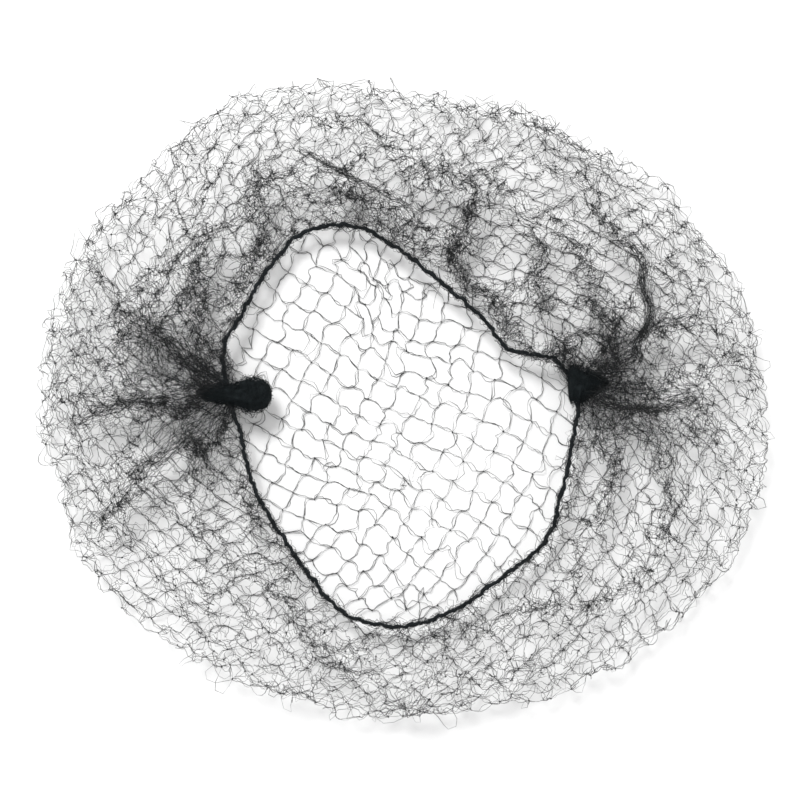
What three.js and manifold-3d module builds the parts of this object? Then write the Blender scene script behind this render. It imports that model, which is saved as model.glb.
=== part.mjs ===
// A nylon hairnet with an elastic edge, laid flat with its opening up, in millimetres with +Z up.
// The net is one piece. Its left and right ends are bunched and tied, and its long edges are drawn in by an
// elastic loop. The origin is at the middle of the laid net, on the surface that the crown lies on.
import * as THREE from "three";
import { mergeVertices } from "three/addons/utils/BufferGeometryUtils.js";
import Module from "manifold-3d";

const wasm = await Module();
wasm.setup();

// Driving sizes
const netLength = 229; // laid net, left to right
const netWidth = 202; // laid net, front to back
const netWall = 1; // crumpled netting, as thick as it lies
const openingRadius = 56; // mean radius of the relaxed opening
const sideHeight = 5.5; // where the side of the bag turns over
const sideRound = 9; // how far in from the outline the crown leaves the surface
const crestHeight = 14; // highest stretch of the upper layer
const crestReach = 24; // how far in from the outline that stretch lies
const rimHeight = 10; // middle of the elastic where the netting holds it highest
const elasticDiameter = 1.4;
const seatGap = 0.3; // between pieces that touch
const pleatHeight = 1.6; // pleats that fan out from each tied end
const pleatReach = 34;
const pleatCount = 7;
const gatherWidth = 10; // widest place of a tied bunch
const gatherHeight = 8;
const gatherLength = 24;
const rightTieBearing = 5; // degrees from +X at which the right end is tied
const leftTieBearing = 178;

// The netting's gaps, on a grid of steps along and across the net
const gapPitch = 6;
const gapReach = 2;
const stepsAlong = 54;
const stepsAcross = 42;
const gapSpread = 1.12; // opens each gap past its grid points, which leaves slimmer ribs
const endOfNet = 0.035; // share of the way to a tie where the netting ends in the bunch

// At each bearing: the outline as a share of an ellipse, the rim as a share of the mean opening, and the
// rim's height as a share of its highest
const laidShape = [
  { bearing: 0, outline: 0.997, rim: 0.979, rise: 1 },
  { bearing: 15, outline: 1, rim: 0.883, rise: 0.96 },
  { bearing: 22, outline: 0.99, rim: 0.714, rise: 0.93 },
  { bearing: 30, outline: 0.982, rim: 0.64, rise: 0.9 },
  { bearing: 45, outline: 0.972, rim: 0.647, rise: 0.86 },
  { bearing: 60, outline: 0.955, rim: 0.655, rise: 0.86 },
  { bearing: 75, outline: 0.961, rim: 0.714, rise: 0.9 },
  { bearing: 90, outline: 0.972, rim: 0.832, rise: 0.86 },
  { bearing: 105, outline: 1.03, rim: 1.012, rise: 0.8 },
  { bearing: 120, outline: 1.057, rim: 1.098, rise: 0.76 },
  { bearing: 135, outline: 1.02, rim: 1.062, rise: 0.8 },
  { bearing: 150, outline: 1.008, rim: 1.03, rise: 0.9 },
  { bearing: 165, outline: 1.01, rim: 1.046, rise: 0.98 },
  { bearing: 180, outline: 0.998, rim: 0.967, rise: 1 },
  { bearing: 195, outline: 1.01, rim: 0.934, rise: 0.98 },
  { bearing: 210, outline: 1.023, rim: 0.973, rise: 0.9 },
  { bearing: 225, outline: 1.02, rim: 1.012, rise: 0.84 },
  { bearing: 240, outline: 0.988, rim: 1.102, rise: 0.8 },
  { bearing: 255, outline: 0.983, rim: 1.25, rise: 0.76 },
  { bearing: 270, outline: 1, rim: 1.277, rise: 0.78 },
  { bearing: 285, outline: 0.999, rim: 1.212, rise: 0.82 },
  { bearing: 300, outline: 1.02, rim: 1.142, rise: 0.84 },
  { bearing: 315, outline: 1.028, rim: 1.13, rise: 0.88 },
  { bearing: 330, outline: 1.04, rim: 1.035, rise: 0.92 },
  { bearing: 345, outline: 1.037, rim: 0.984, rise: 0.98 },
];

// Main creases of the upper layer. Places are shares of the net's half length and half width, lengths and
// widths are shares of the half length, and heights are shares of the crest.
const creases = [
  { x: -0.12, y: 0.69, heading: -24, length: 0.42, width: 0.055, height: 0.26 },
  { x: 0.2, y: 0.62, heading: -58, length: 0.26, width: 0.055, height: 0.2 },
  { x: 0.66, y: 0.28, heading: 84, length: 0.4, width: 0.06, height: 0.28 },
  { x: -0.62, y: 0.17, heading: -42, length: 0.42, width: 0.07, height: 0.26 },
  { x: -0.46, y: 0.38, heading: -70, length: 0.3, width: 0.055, height: 0.2 },
  { x: -0.76, y: -0.32, heading: 42, length: 0.34, width: 0.055, height: 0.24 },
  { x: 0.3, y: -0.7, heading: 18, length: 0.36, width: 0.055, height: 0.16 },
];

// Sections of a tied bunch, from the tail that takes in the netting, past the neck that the elastic ties, to
// the rounded free end, as shares of the bunch's length, width and height
const leftBunch = [
  { along: 0, width: 0, height: 0 },
  { along: 0.04, width: 0.24, height: 0.2 },
  { along: 0.14, width: 0.58, height: 0.44 },
  { along: 0.28, width: 0.72, height: 0.62 },
  { along: 0.44, width: 0.66, height: 0.74 },
  { along: 0.56, width: 0.84, height: 0.9 },
  { along: 0.72, width: 1, height: 1 },
  { along: 0.86, width: 0.88, height: 0.9 },
  { along: 0.95, width: 0.56, height: 0.58 },
  { along: 1, width: 0, height: 0 },
];
const rightBunch = [
  { along: 0, width: 0, height: 0 },
  { along: 0.05, width: 0.2, height: 0.2 },
  { along: 0.2, width: 0.44, height: 0.46 },
  { along: 0.46, width: 0.74, height: 0.76 },
  { along: 0.74, width: 1, height: 1 },
  { along: 0.9, width: 0.8, height: 0.82 },
  { along: 0.97, width: 0.5, height: 0.5 },
  { along: 1, width: 0, height: 0 },
];
const bunchSides = 24;
const bunchPleats = 8;
const bunchPleatDepth = 0.09;

// Where each bunch lies: how much of it is inside the opening, and its length and width as shares of the
// named sizes
const ties = [
  { name: "gather_left", bearing: leftTieBearing, inside: 0.56, length: 1, width: 1, sections: leftBunch },
  { name: "gather_right", bearing: rightTieBearing, inside: 0.26, length: 0.62, width: 1.24, sections: rightBunch },
];

const netting = new THREE.MeshStandardMaterial({ color: 0x16191a, roughness: 0.75, metalness: 0 });
const elasticYarn = new THREE.MeshStandardMaterial({ color: 0x0d1011, roughness: 0.85, metalness: 0 });
const bunchedNet = new THREE.MeshStandardMaterial({ color: 0x111516, roughness: 0.8, metalness: 0 });

const radians = THREE.MathUtils.degToRad;
const smooth = (x) => THREE.MathUtils.smoothstep(x, 0, 1);

// A column of the laid shape at any bearing in degrees, on a smooth closed curve through its rows
function shareAt(column, bearing) {
  const rows = laidShape.length;
  const wanted = THREE.MathUtils.euclideanModulo(bearing, 360);
  const row = laidShape.findLastIndex((entry) => entry.bearing <= wanted);
  const nearby = [-1, 0, 1, 2].map((step) => {
    const entry = laidShape[(row + step + rows) % rows];
    const turns = Math.floor((row + step) / rows);
    return { at: entry.bearing + 360 * turns, value: entry[column] };
  });
  const [a, b, c, d] = nearby;
  const reach = c.at - b.at;
  const t = (wanted - b.at) / reach;
  const leave = ((c.value - a.value) / (c.at - a.at)) * reach;
  const arrive = ((d.value - b.value) / (d.at - b.at)) * reach;
  const rise = c.value - b.value;
  return b.value + t * (leave + t * (3 * rise - 2 * leave - arrive + t * (leave + arrive - 2 * rise)));
}

function outlinePoint(bearing) {
  const [c, s] = [Math.cos(radians(bearing)), Math.sin(radians(bearing))];
  const ellipse = 1 / Math.hypot(c / (netLength / 2), s / (netWidth / 2));
  const radius = ellipse * shareAt("outline", bearing);
  return new THREE.Vector2(radius * c, radius * s);
}

function rimPoint(bearing) {
  const radius = openingRadius * shareAt("rim", bearing);
  const [c, s] = [Math.cos(radians(bearing)), Math.sin(radians(bearing))];
  return new THREE.Vector3(radius * c, radius * s, rimHeight * shareAt("rise", bearing));
}

// Where the netting ends beside the elastic: square out from the rim, clear of the elastic
function netEdgePoint(bearing) {
  const ahead = rimPoint(bearing + 1);
  const behind = rimPoint(bearing - 1);
  const out = new THREE.Vector3(ahead.y - behind.y, behind.x - ahead.x, 0).normalize();
  return rimPoint(bearing).addScaledVector(out, elasticDiameter / 2 + seatGap);
}

// The bag's outer surface at one bearing, from the middle of the crown round the side to the rim
const profileSteps = 14;
const profiles = new Map();
function profileAt(bearing) {
  const key = bearing.toFixed(4);
  if (profiles.has(key)) return profiles.get(key);
  const outline = outlinePoint(bearing);
  const edge = netEdgePoint(bearing);
  const rim = new THREE.Vector2(edge.x, edge.y);
  const crown = 1 - sideRound / outline.length();
  const crest = Math.min(crestReach / outline.distanceTo(rim), 0.5);
  const points = [new THREE.Vector3(0, 0, 0)];
  const add = (plan, z) => points.push(new THREE.Vector3(plan.x, plan.y, z));
  for (let i = 0; i <= profileSteps; i++) {
    const turn = (Math.PI / 2) * (i / profileSteps);
    add(outline.clone().multiplyScalar(crown + (1 - crown) * Math.sin(turn)), sideHeight * (1 - Math.cos(turn)));
  }
  for (let i = 1; i <= profileSteps; i++) {
    const turn = (Math.PI / 2) * (i / profileSteps);
    const z = sideHeight + (crestHeight - sideHeight) * Math.sin(turn);
    add(outline.clone().lerp(rim, crest * (1 - Math.cos(turn))), z);
  }
  for (let i = 1; i <= profileSteps; i++) {
    const share = i / profileSteps;
    const low = edge.z + netWall / 2;
    const z = low + ((crestHeight - low) * (1 + Math.cos(Math.PI * share))) / 2;
    add(outline.clone().lerp(rim, crest + (1 - crest) * share), z);
  }
  const lengths = [0];
  for (let i = 1; i < points.length; i++) {
    lengths.push(lengths[i - 1] + points[i].distanceTo(points[i - 1]));
  }
  const profile = { points, lengths, total: lengths[lengths.length - 1] };
  profiles.set(key, profile);
  return profile;
}

function pointOnProfile(profile, share) {
  const wanted = THREE.MathUtils.clamp(share, 0, 1) * profile.total;
  let i = 1;
  while (i < profile.lengths.length - 1 && profile.lengths[i] < wanted) i++;
  const t = (wanted - profile.lengths[i - 1]) / (profile.lengths[i] - profile.lengths[i - 1]);
  return profile.points[i - 1].clone().lerp(profile.points[i], t);
}

// How far the creases lift the upper layer at a point of the plan
function creaseLift(x, y) {
  const halfLength = netLength / 2;
  let lift = 0;
  for (const crease of creases) {
    const dx = x - crease.x * halfLength;
    const dy = y - (crease.y * netWidth) / 2;
    const [c, s] = [Math.cos(radians(crease.heading)), Math.sin(radians(crease.heading))];
    const along = Math.abs(dx * c + dy * s) / ((crease.length * halfLength) / 2);
    const across = (dy * c - dx * s) / (crease.width * halfLength);
    lift += crease.height * crestHeight * Math.exp(-across * across) * smooth(1.5 - along);
  }
  return lift;
}

// The bag's outer surface at a place on the flat net: along runs from the left tie to the right one, and
// across from the front edge to the back edge, as longitude and latitude lines run on half a globe
function bagPoint(along, across) {
  const latitude = (along - 0.5) * Math.PI * (1 - 2 * endOfNet);
  const longitude = (across - 0.5) * Math.PI;
  const x = Math.sin(latitude);
  const y = Math.cos(latitude) * Math.sin(longitude);
  const fromCrown = Math.acos(Math.cos(latitude) * Math.cos(longitude)) / (Math.PI / 2);
  const turn = Math.atan2(y, x);
  const towardsRight = (1 + Math.cos(turn)) / 2;
  const swing = rightTieBearing * towardsRight + (leftTieBearing - 180) * (1 - towardsRight);
  const bearing = THREE.MathUtils.radToDeg(turn) + swing;
  const profile = profileAt(bearing);
  const point = pointOnProfile(profile, fromCrown);
  const upper = smooth((point.z - sideHeight) / (crestHeight - sideHeight)) * smooth((1 - fromCrown) * 12);
  const toTie = Math.min(along, 1 - along) * 2 * profile.total;
  const pleat = Math.cos(2 * Math.PI * pleatCount * across) * Math.exp(-((toTie / pleatReach) ** 2));
  point.z += upper * (creaseLift(point.x, point.y) + pleatHeight * pleat);
  return point;
}

// Inward normal of the bag at a place on the flat net
function inwardAt(along, across) {
  const step = 0.002;
  const ahead = bagPoint(Math.min(along + step, 1), across).sub(bagPoint(Math.max(along - step, 0), across));
  const beside = bagPoint(along, Math.min(across + step, 1)).sub(bagPoint(along, Math.max(across - step, 0)));
  return ahead.cross(beside).normalize();
}

// Offset of a grid point from the nearest gap's middle, in steps
function fromGap(i, j) {
  const half = gapPitch / 2;
  const near = (n, start) => n - start - gapPitch * Math.round((n - start) / gapPitch);
  const first = { di: near(i, 0), dj: near(j, half) };
  const second = { di: near(i, half), dj: near(j, 0) };
  const size = (offset) => Math.abs(offset.di) + Math.abs(offset.dj);
  const nearest = size(first) <= size(second) ? first : second;
  const [ci, cj] = [i - nearest.di, j - nearest.dj];
  const whole =
    ci > gapReach && ci < stepsAlong - gapReach && cj > gapReach && cj < stepsAcross - gapReach;
  return { ...nearest, size: size(nearest), whole };
}

// The net as a closed shell: an outer and an inner sheet on one grid, joined round the edge and each gap
function netGeometry() {
  const [columns, rows] = [stepsAlong + 1, stepsAcross + 1];
  const positions = [];
  for (const depth of [0, netWall]) {
    for (let j = 0; j < rows; j++) {
      for (let i = 0; i < columns; i++) {
        const gap = fromGap(i, j);
        const spread = gap.whole && gap.size === gapReach ? gapSpread - 1 : 0;
        const along = (i + spread * gap.di) / stepsAlong;
        const across = (j + spread * gap.dj) / stepsAcross;
        const point = bagPoint(along, across);
        if (depth) point.addScaledVector(inwardAt(along, across), depth);
        positions.push(point.x, point.y, point.z);
      }
    }
  }
  const sheet = [];
  for (let j = 0; j < stepsAcross; j++) {
    for (let i = 0; i < stepsAlong; i++) {
      const at = (di, dj) => (j + dj) * columns + i + di;
      const middle = fromGap(i + 0.5, j + 0.5);
      const falling = middle.di * middle.dj > 0;
      const halves = falling
        ? [[[0, 0], [1, 0], [0, 1]], [[1, 0], [1, 1], [0, 1]]]
        : [[[0, 0], [1, 0], [1, 1]], [[0, 0], [1, 1], [0, 1]]];
      for (const corners of halves) {
        const ci = i + corners.reduce((sum, corner) => sum + corner[0], 0) / 3;
        const cj = j + corners.reduce((sum, corner) => sum + corner[1], 0) / 3;
        const gap = fromGap(ci, cj);
        if (gap.whole && gap.size < gapReach) continue;
        sheet.push(corners.map((corner) => at(corner[0], corner[1])));
      }
    }
  }
  const inner = columns * rows;
  const faces = [];
  const edges = new Set(sheet.flatMap(([a, b, c]) => [`${a} ${b}`, `${b} ${c}`, `${c} ${a}`]));
  for (const [a, b, c] of sheet) {
    faces.push(a, c, b, a + inner, b + inner, c + inner);
    for (const [from, to] of [[a, b], [b, c], [c, a]]) {
      if (edges.has(`${to} ${from}`)) continue;
      faces.push(from, to, to + inner, from, to + inner, from + inner);
    }
  }
  const geometry = new THREE.BufferGeometry();
  geometry.setAttribute("position", new THREE.Float32BufferAttribute(positions, 3));
  geometry.setIndex(faces);
  return geometry;
}

// The elastic's middle line, and a closed tube round it
const elasticSteps = 96;
function elasticGeometry(diameter) {
  const points = [];
  for (let i = 0; i < elasticSteps; i++) {
    points.push(rimPoint((360 * i) / elasticSteps));
  }
  const line = new THREE.CatmullRomCurve3(points, true);
  return new THREE.TubeGeometry(line, elasticSteps, diameter / 2, 8, true);
}

// A tied bunch lying along +X, with its tie on the elastic at the origin, fuller by grow all round
function bunchGeometry(tie, grow) {
  const length = gatherLength * tie.length;
  const profile = tie.sections.map((row) => {
    const tip = row.along === 0 ? -grow : row.along === 1 ? grow : 0;
    return new THREE.Vector2(row.width, row.along * length + tip);
  });
  const geometry = new THREE.LatheGeometry(profile, bunchSides);
  const place = geometry.getAttribute("position");
  for (let i = 0; i < place.count; i++) {
    const row = tie.sections[i % tie.sections.length];
    const turn = Math.atan2(place.getZ(i), place.getX(i));
    const groove = 1 - bunchPleatDepth * (0.5 + 0.5 * Math.cos(bunchPleats * turn));
    const halfWidth = row.width ? (gatherWidth / 2) * tie.width * row.width * groove + grow : 0;
    const halfHeight = row.height ? (gatherHeight / 2) * row.height * groove + grow : 0;
    const inward = length * (1 - tie.inside) - place.getY(i);
    place.setXYZ(i, inward, halfWidth * Math.cos(turn), halfHeight * Math.sin(turn));
  }
  const at = rimPoint(tie.bearing);
  geometry.rotateZ(Math.atan2(at.y, at.x));
  geometry.translate(at.x, at.y, at.z);
  return geometry;
}

function solidFrom(geometry) {
  const bare = geometry.clone();
  for (const name of ["normal", "uv"]) bare.deleteAttribute(name);
  const merged = mergeVertices(bare, 1e-4);
  return new wasm.Manifold(
    new wasm.Mesh({
      numProp: 3,
      vertProperties: new Float32Array(merged.getAttribute("position").array),
      triVerts: new Uint32Array(merged.index.array),
    }),
  );
}

function geometryFrom(solid) {
  const mesh = solid.getMesh();
  const geometry = new THREE.BufferGeometry();
  geometry.setAttribute("position", new THREE.BufferAttribute(new Float32Array(mesh.vertProperties), 3));
  geometry.setIndex(new THREE.BufferAttribute(new Uint32Array(mesh.triVerts), 1));
  geometry.computeVertexNormals();
  return geometry;
}

function namedMesh(name, geometry, material) {
  const mesh = new THREE.Mesh(geometry, material);
  mesh.name = name;
  return mesh;
}

const hairnet = new THREE.Group();
const elasticRoom = solidFrom(elasticGeometry(elasticDiameter + 2 * seatGap));
let net = solidFrom(netGeometry());
for (const tie of ties) {
  const bunch = solidFrom(bunchGeometry(tie, 0)).subtract(elasticRoom);
  hairnet.add(namedMesh(tie.name, geometryFrom(bunch), bunchedNet));
  net = net.subtract(solidFrom(bunchGeometry(tie, seatGap)));
}
hairnet.add(namedMesh("elastic_edge", elasticGeometry(elasticDiameter), elasticYarn));
hairnet.add(namedMesh("net_bag", geometryFrom(net), netting));

// The origin is under the middle of the laid net
const middle = new THREE.Box3().setFromObject(hairnet).getCenter(new THREE.Vector3());
hairnet.position.set(-middle.x, -middle.y, 0);

export default hairnet;
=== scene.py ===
# A black nylon hairnet with an elastic edge, lying flat on a white surface with its opening up
import math
from collections import namedtuple

import bpy
import numpy as np
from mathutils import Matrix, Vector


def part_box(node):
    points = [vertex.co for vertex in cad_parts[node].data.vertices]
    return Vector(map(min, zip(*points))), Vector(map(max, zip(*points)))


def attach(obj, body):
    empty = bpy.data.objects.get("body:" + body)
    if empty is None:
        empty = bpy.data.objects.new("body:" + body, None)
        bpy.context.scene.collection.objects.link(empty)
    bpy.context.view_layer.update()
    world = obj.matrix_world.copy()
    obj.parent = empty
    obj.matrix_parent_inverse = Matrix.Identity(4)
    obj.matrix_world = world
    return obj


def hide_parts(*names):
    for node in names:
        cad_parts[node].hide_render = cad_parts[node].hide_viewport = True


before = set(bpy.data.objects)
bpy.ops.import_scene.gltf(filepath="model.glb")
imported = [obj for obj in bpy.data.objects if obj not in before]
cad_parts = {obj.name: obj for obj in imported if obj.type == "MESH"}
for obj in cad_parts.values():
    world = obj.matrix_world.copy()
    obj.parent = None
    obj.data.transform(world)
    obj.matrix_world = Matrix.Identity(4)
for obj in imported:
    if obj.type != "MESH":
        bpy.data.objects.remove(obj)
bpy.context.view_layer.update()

MM = 0.001
TAU = 2 * math.pi
UP = np.array([0.0, 0.0, 1.0])
rng = np.random.default_rng(20)

# The laid net's sizes, as the frame has them
NET_LENGTH = 229 * MM
NET_WIDTH = 202 * MM
OPENING_RADIUS = 56 * MM
SIDE_HEIGHT = 5.5 * MM
SIDE_ROUND = 9 * MM
CREST_HEIGHT = 14 * MM
CREST_REACH = 24 * MM
RIM_HEIGHT = 10 * MM
ELASTIC_DIAMETER = 1.4 * MM
GATHER_WIDTH = 10 * MM
GATHER_HEIGHT = 8 * MM
GATHER_LENGTH = 24 * MM
RIGHT_TIE_BEARING = 5
LEFT_TIE_BEARING = 178

# The knotted net
COLUMNS = 100  # knots from the left tie to the right tie
ROWS = 99  # knots from the front edge to the back edge
FRONT_ROWS = 21  # of which in the upper layer in front of the opening
BACK_ROWS = 34  # and behind it
PITCH = 4.67 * MM  # half the diagonal of an open cell
BAR_LENGTH = 7.3 * MM  # about the yarn between two knots
TAUT_LENGTH = 0.97 * BAR_LENGTH  # two knots of a yarn that lie further apart are drawn together
LOWEST_KNOT = 0.35 * MM
CROWN_SHARE = 0.49  # of the way from the crown's middle to the edge, the share that lies flat
CROWN_TURN = 20  # degrees that the crown's rows lie round from the ties
FILAMENT_RADIUS = 0.062 * MM
KNOT_RADIUS = 0.31 * MM
FULLNESS = 0.25  # how much thicker a filament is where it lies open in the crown
UNEVENNESS = 0.34  # of a filament's girth
PARTING = 0.2 * MM  # of a yarn's two filaments between the knots
CRIMP = 0.19 * MM  # of a filament in the crown, and more in the crumpled netting
POINTS_PER_BAR = (6, 6)  # in each of a yarn's two filaments
TIED_COLUMNS = 2  # knots at each end that are hidden in the tie
DRAWN_ROUND = (46, 24, 5)  # degrees: where the netting is drawn round furthest, over what width, and how far

# How the netting is crumpled: each ripple's wavelength on the flat net, and how far it shifts the knots in
# plan and in height
UPPER_RIPPLES = [(60 * MM, 2.6 * MM, 1.2 * MM), (28 * MM, 1.0 * MM, 1.2 * MM), (12 * MM, 0.7 * MM, 0.8 * MM)]
CROWN_RIPPLES = [(45 * MM, 1.1 * MM, 0.1 * MM), (17 * MM, 0.8 * MM, 0.1 * MM)]
COVERED_RIPPLES = [(12 * MM, 1.1 * MM, 0.15 * MM)]  # in the crown outside the opening
PATCH_RIPPLES = [(13 * MM, 2.1 * MM, 0.3 * MM)]  # in a looser patch of the crown
PATCH_PLACE = (24 * MM, -22 * MM)
PATCH_REACH = 32 * MM
KNOT_JITTER = (0.65 * MM, 0.65 * MM, 0.3 * MM)  # of each knot by itself

# Pleats that run out from each tie, and the tie itself
FAN_REACH = 48 * MM  # how far from a tie the pleats are felt
PLEATS_ALONG = 30 * MM  # in the pleats' random fields, the way from the net's middle to a tie
PLEATS_SIDEWAYS = [(30 * MM, 0.13), (14 * MM, 0.06)]  # wavelength, and shift as a share of the way to the tie
PLEATS_UP = (26 * MM, 1.2 * MM)  # wavelength and height
PLEATS_START = 10 * MM  # the way from the tie on which they rise
TIE_REACH = 8 * MM  # how much of the flat net is drawn into a tie
TIE_SPREAD = (1.0 * MM, 1.6 * MM, 1.2 * MM)  # of the knots in a tie

# The camera, which looks straight down at the photograph's scale
PHOTO_PIXELS = 800
PIXEL = 0.315 * MM
PHOTO_CENTRE = (-0.9 * MM, 0)
LENS = 85

# The floor, and the light: an even white sky and one soft lamp behind and to the left
FLOOR_HALF = 3
FLOOR_LEVEL = -0.2 * MM
SKY_STRENGTH = 0.75
LAMP_PLACE = (-0.38, 0.86, 1.28)
LAMP_SIZE = 0.5
LAMP_POWER = 18

# At each bearing: the outline as a share of an ellipse, the rim as a share of the mean opening, the rim's
# height as a share of its highest, how much more of the upper layer's netting lies by the rim than by the
# outline, where less is below 0, and how crumpled it is
LAID_SHAPE = np.array([
    (0, 0.997, 0.979, 1.0, -0.3, 0.8),
    (15, 1.0, 0.883, 0.96, -0.5, 0.9),
    (22, 0.99, 0.714, 0.93, -0.6, 1.0),
    (30, 0.982, 0.64, 0.9, -0.6, 1.0),
    (45, 0.972, 0.647, 0.86, -0.45, 1.0),
    (60, 0.955, 0.655, 0.86, -0.3, 1.0),
    (75, 0.961, 0.714, 0.9, 0.2, 1.0),
    (90, 0.972, 0.832, 0.86, 0.5, 1.0),
    (105, 1.03, 1.012, 0.8, 0.55, 1.0),
    (120, 1.057, 1.098, 0.76, 0.6, 0.9),
    (135, 1.02, 1.062, 0.8, 0.4, 0.9),
    (150, 1.008, 1.03, 0.9, 0.05, 0.9),
    (165, 1.01, 1.046, 0.98, -0.45, 0.8),
    (180, 0.998, 0.967, 1.0, -0.45, 0.8),
    (195, 1.01, 0.934, 0.98, -0.15, 0.8),
    (210, 1.023, 0.973, 0.9, 0.3, 0.8),
    (225, 1.02, 1.012, 0.84, 0.3, 0.8),
    (240, 0.988, 1.102, 0.8, 0.25, 0.8),
    (255, 0.983, 1.25, 0.76, 0.15, 0.8),
    (270, 1.0, 1.277, 0.78, 0.2, 0.8),
    (285, 0.999, 1.212, 0.82, 0.2, 0.8),
    (300, 1.02, 1.142, 0.84, 0.2, 0.8),
    (315, 1.028, 1.13, 0.88, 0.25, 0.8),
    (330, 1.04, 1.035, 0.92, 0.1, 0.8),
    (345, 1.037, 0.984, 0.98, -0.1, 0.8),
])
OUTLINE, RIM, RISE, DRAWN, CRUMPLED = 1, 2, 3, 4, 5

# Folds and pleats in which the upper layer is gathered: number of strands, how far they spread, and the
# fold's route as shares of the net's half length and half width
FOLDS = [
    (44, 0.5 * MM, [(-0.29, 0.774), (-0.16, 0.696), (-0.077, 0.649), (-0.008, 0.615), (0.06, 0.546)]),
    (20, 1.1 * MM, [(0.129, 0.718), (0.206, 0.64), (0.162, 0.577), (0.129, 0.499), (0.124, 0.43)]),
    (26, 4.2 * MM, [(0.184, 0.608), (0.165, 0.5), (0.151, 0.406), (0.184, 0.312)]),
    (96, 1.3 * MM, [(0.534, 0.075), (0.611, 0.1), (0.643, 0.128), (0.628, 0.172), (0.668, 0.225),
                    (0.676, 0.284), (0.65, 0.353), (0.656, 0.418), (0.626, 0.47), (0.6, 0.5)]),
    (84, 0.9 * MM, [(0.5, 0.0), (0.57, -0.022), (0.64, -0.034), (0.7, -0.03), (0.76, -0.012), (0.82, 0.0)]),
    (44, 1.2 * MM, [(0.377, 0.131), (0.437, 0.181), (0.487, 0.209), (0.542, 0.187), (0.575, 0.15)]),
    (16, 2.0 * MM, [(0.52, 0.06), (0.57, 0.1), (0.62, 0.16), (0.65, 0.22)]),
    (16, 0.8 * MM, [(0.432, 0.406), (0.514, 0.312), (0.556, 0.234)]),
    (12, 1.2 * MM, [(0.542, 0.749), (0.575, 0.66), (0.585, 0.6)]),
    (24, 2.4 * MM, [(0.652, -0.047), (0.679, -0.109), (0.693, -0.172)]),
    (76, 2.0 * MM, [(-0.5, 0.02), (-0.545, 0.069), (-0.6, 0.131), (-0.655, 0.187), (-0.723, 0.234),
                    (-0.765, 0.275)]),
    (84, 4.4 * MM, [(-0.77, 0.172), (-0.7, 0.215), (-0.66, 0.27)]),
    (48, 1.8 * MM, [(-0.481, -0.006), (-0.586, 0.0), (-0.696, 0.006), (-0.806, -0.025), (-0.902, -0.078)]),
    (44, 2.2 * MM, [(-0.476, -0.031), (-0.558, -0.094), (-0.655, -0.162), (-0.723, -0.234), (-0.773, -0.312),
                    (-0.847, -0.406)]),
    (30, 1.3 * MM, [(-0.47, -0.05), (-0.517, -0.125), (-0.558, -0.203), (-0.572, -0.25)]),
    (24, 1.6 * MM, [(-0.498, 0.15), (-0.487, 0.094), (-0.476, 0.04)]),
    (16, 0.6 * MM, [(-0.556, 0.54), (-0.547, 0.462), (-0.578, 0.412)]),
    (16, 0.8 * MM, [(-0.633, 0.399), (-0.597, 0.315), (-0.594, 0.256), (-0.569, 0.187)]),
    (12, 0.7 * MM, [(-0.883, 0.452), (-0.847, 0.374), (-0.8, 0.306), (-0.751, 0.243)]),
    (16, 0.7 * MM, [(-0.888, -0.431), (-0.806, -0.359), (-0.707, -0.275)]),
]
FOLD_POINTS = 12
FOLD_REACH = 6 * MM  # how far from a fold its pull on the knots is felt
FOLD_PULL = 0.4
FOLD_WAVER = 0.5 * MM  # of a fold's strands, sideways
FOLD_KINK = 0.22 * MM
FOLD_LIFT = 0.6 * MM  # of a fold's strands over the upper layer
FOLD_LIMIT = 2 * MM  # the furthest over or under it that they lie

# Where the upper layer hangs a little way into the opening: bearing and width in degrees, and reach
HANGING = [
    (17, 6, 3.6 * MM),
    (169, 5, 3.0 * MM),
]
HANGING_DEPTH = 5 * MM  # how much of the netting outside the rim follows it
RIM_CLEARANCE = 0.4 * MM  # of the upper layer's other knots outside the rim
OUTLINE_ALLOWANCE = 1.2 * MM  # how far knots may lie outside the outline


# The laid shape

def around(column, bearing):
    """A column of the laid shape at bearings in degrees, on a smooth closed curve through its rows."""
    rows = len(LAID_SHAPE)
    wanted = np.mod(np.asarray(bearing, float), 360)
    row = np.searchsorted(LAID_SHAPE[:, 0], wanted, side="right") - 1
    at, value = [], []
    for step in (-1, 0, 1, 2):
        at.append(LAID_SHAPE[(row + step) % rows, 0] + 360 * np.floor((row + step) / rows))
        value.append(LAID_SHAPE[(row + step) % rows, column])
    reach = at[2] - at[1]
    t = (wanted - at[1]) / reach
    leave = (value[2] - value[0]) / (at[2] - at[0]) * reach
    arrive = (value[3] - value[1]) / (at[3] - at[1]) * reach
    rise = value[2] - value[1]
    return value[1] + t * (leave + t * (3 * rise - 2 * leave - arrive + t * (leave + arrive - 2 * rise)))


def smooth(x):
    """0 up to 0, 1 from 1 on, and a smooth step between."""
    x = np.clip(x, 0, 1)
    return x * x * (3 - 2 * x)


def unit(vectors):
    """Vectors scaled to length 1."""
    return vectors / np.maximum(np.linalg.norm(vectors, axis=-1, keepdims=True), 1e-12)


def outline_radius(bearing):
    turn = np.radians(bearing)
    ellipse = 1 / np.hypot(np.cos(turn) / (NET_LENGTH / 2), np.sin(turn) / (NET_WIDTH / 2))
    return ellipse * around(OUTLINE, bearing)


def polar(radius, bearing, height):
    turn = np.radians(np.asarray(bearing, float))
    return np.stack([radius * np.cos(turn), radius * np.sin(turn), height + 0 * turn], axis=-1)


def frame_shift():
    """How far the frame lies from the middle of the opening, which bearings are taken round."""
    lowest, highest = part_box("elastic_edge")
    bearing = np.arange(0, 360, 0.25)
    line = polar(OPENING_RADIUS * around(RIM, bearing), bearing, 0)
    middle = (line.min(axis=0) + line.max(axis=0)) / 2
    return np.array([(lowest[0] + highest[0]) / 2 - middle[0], (lowest[1] + highest[1]) / 2 - middle[1], 0])


SHIFT = frame_shift()


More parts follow.
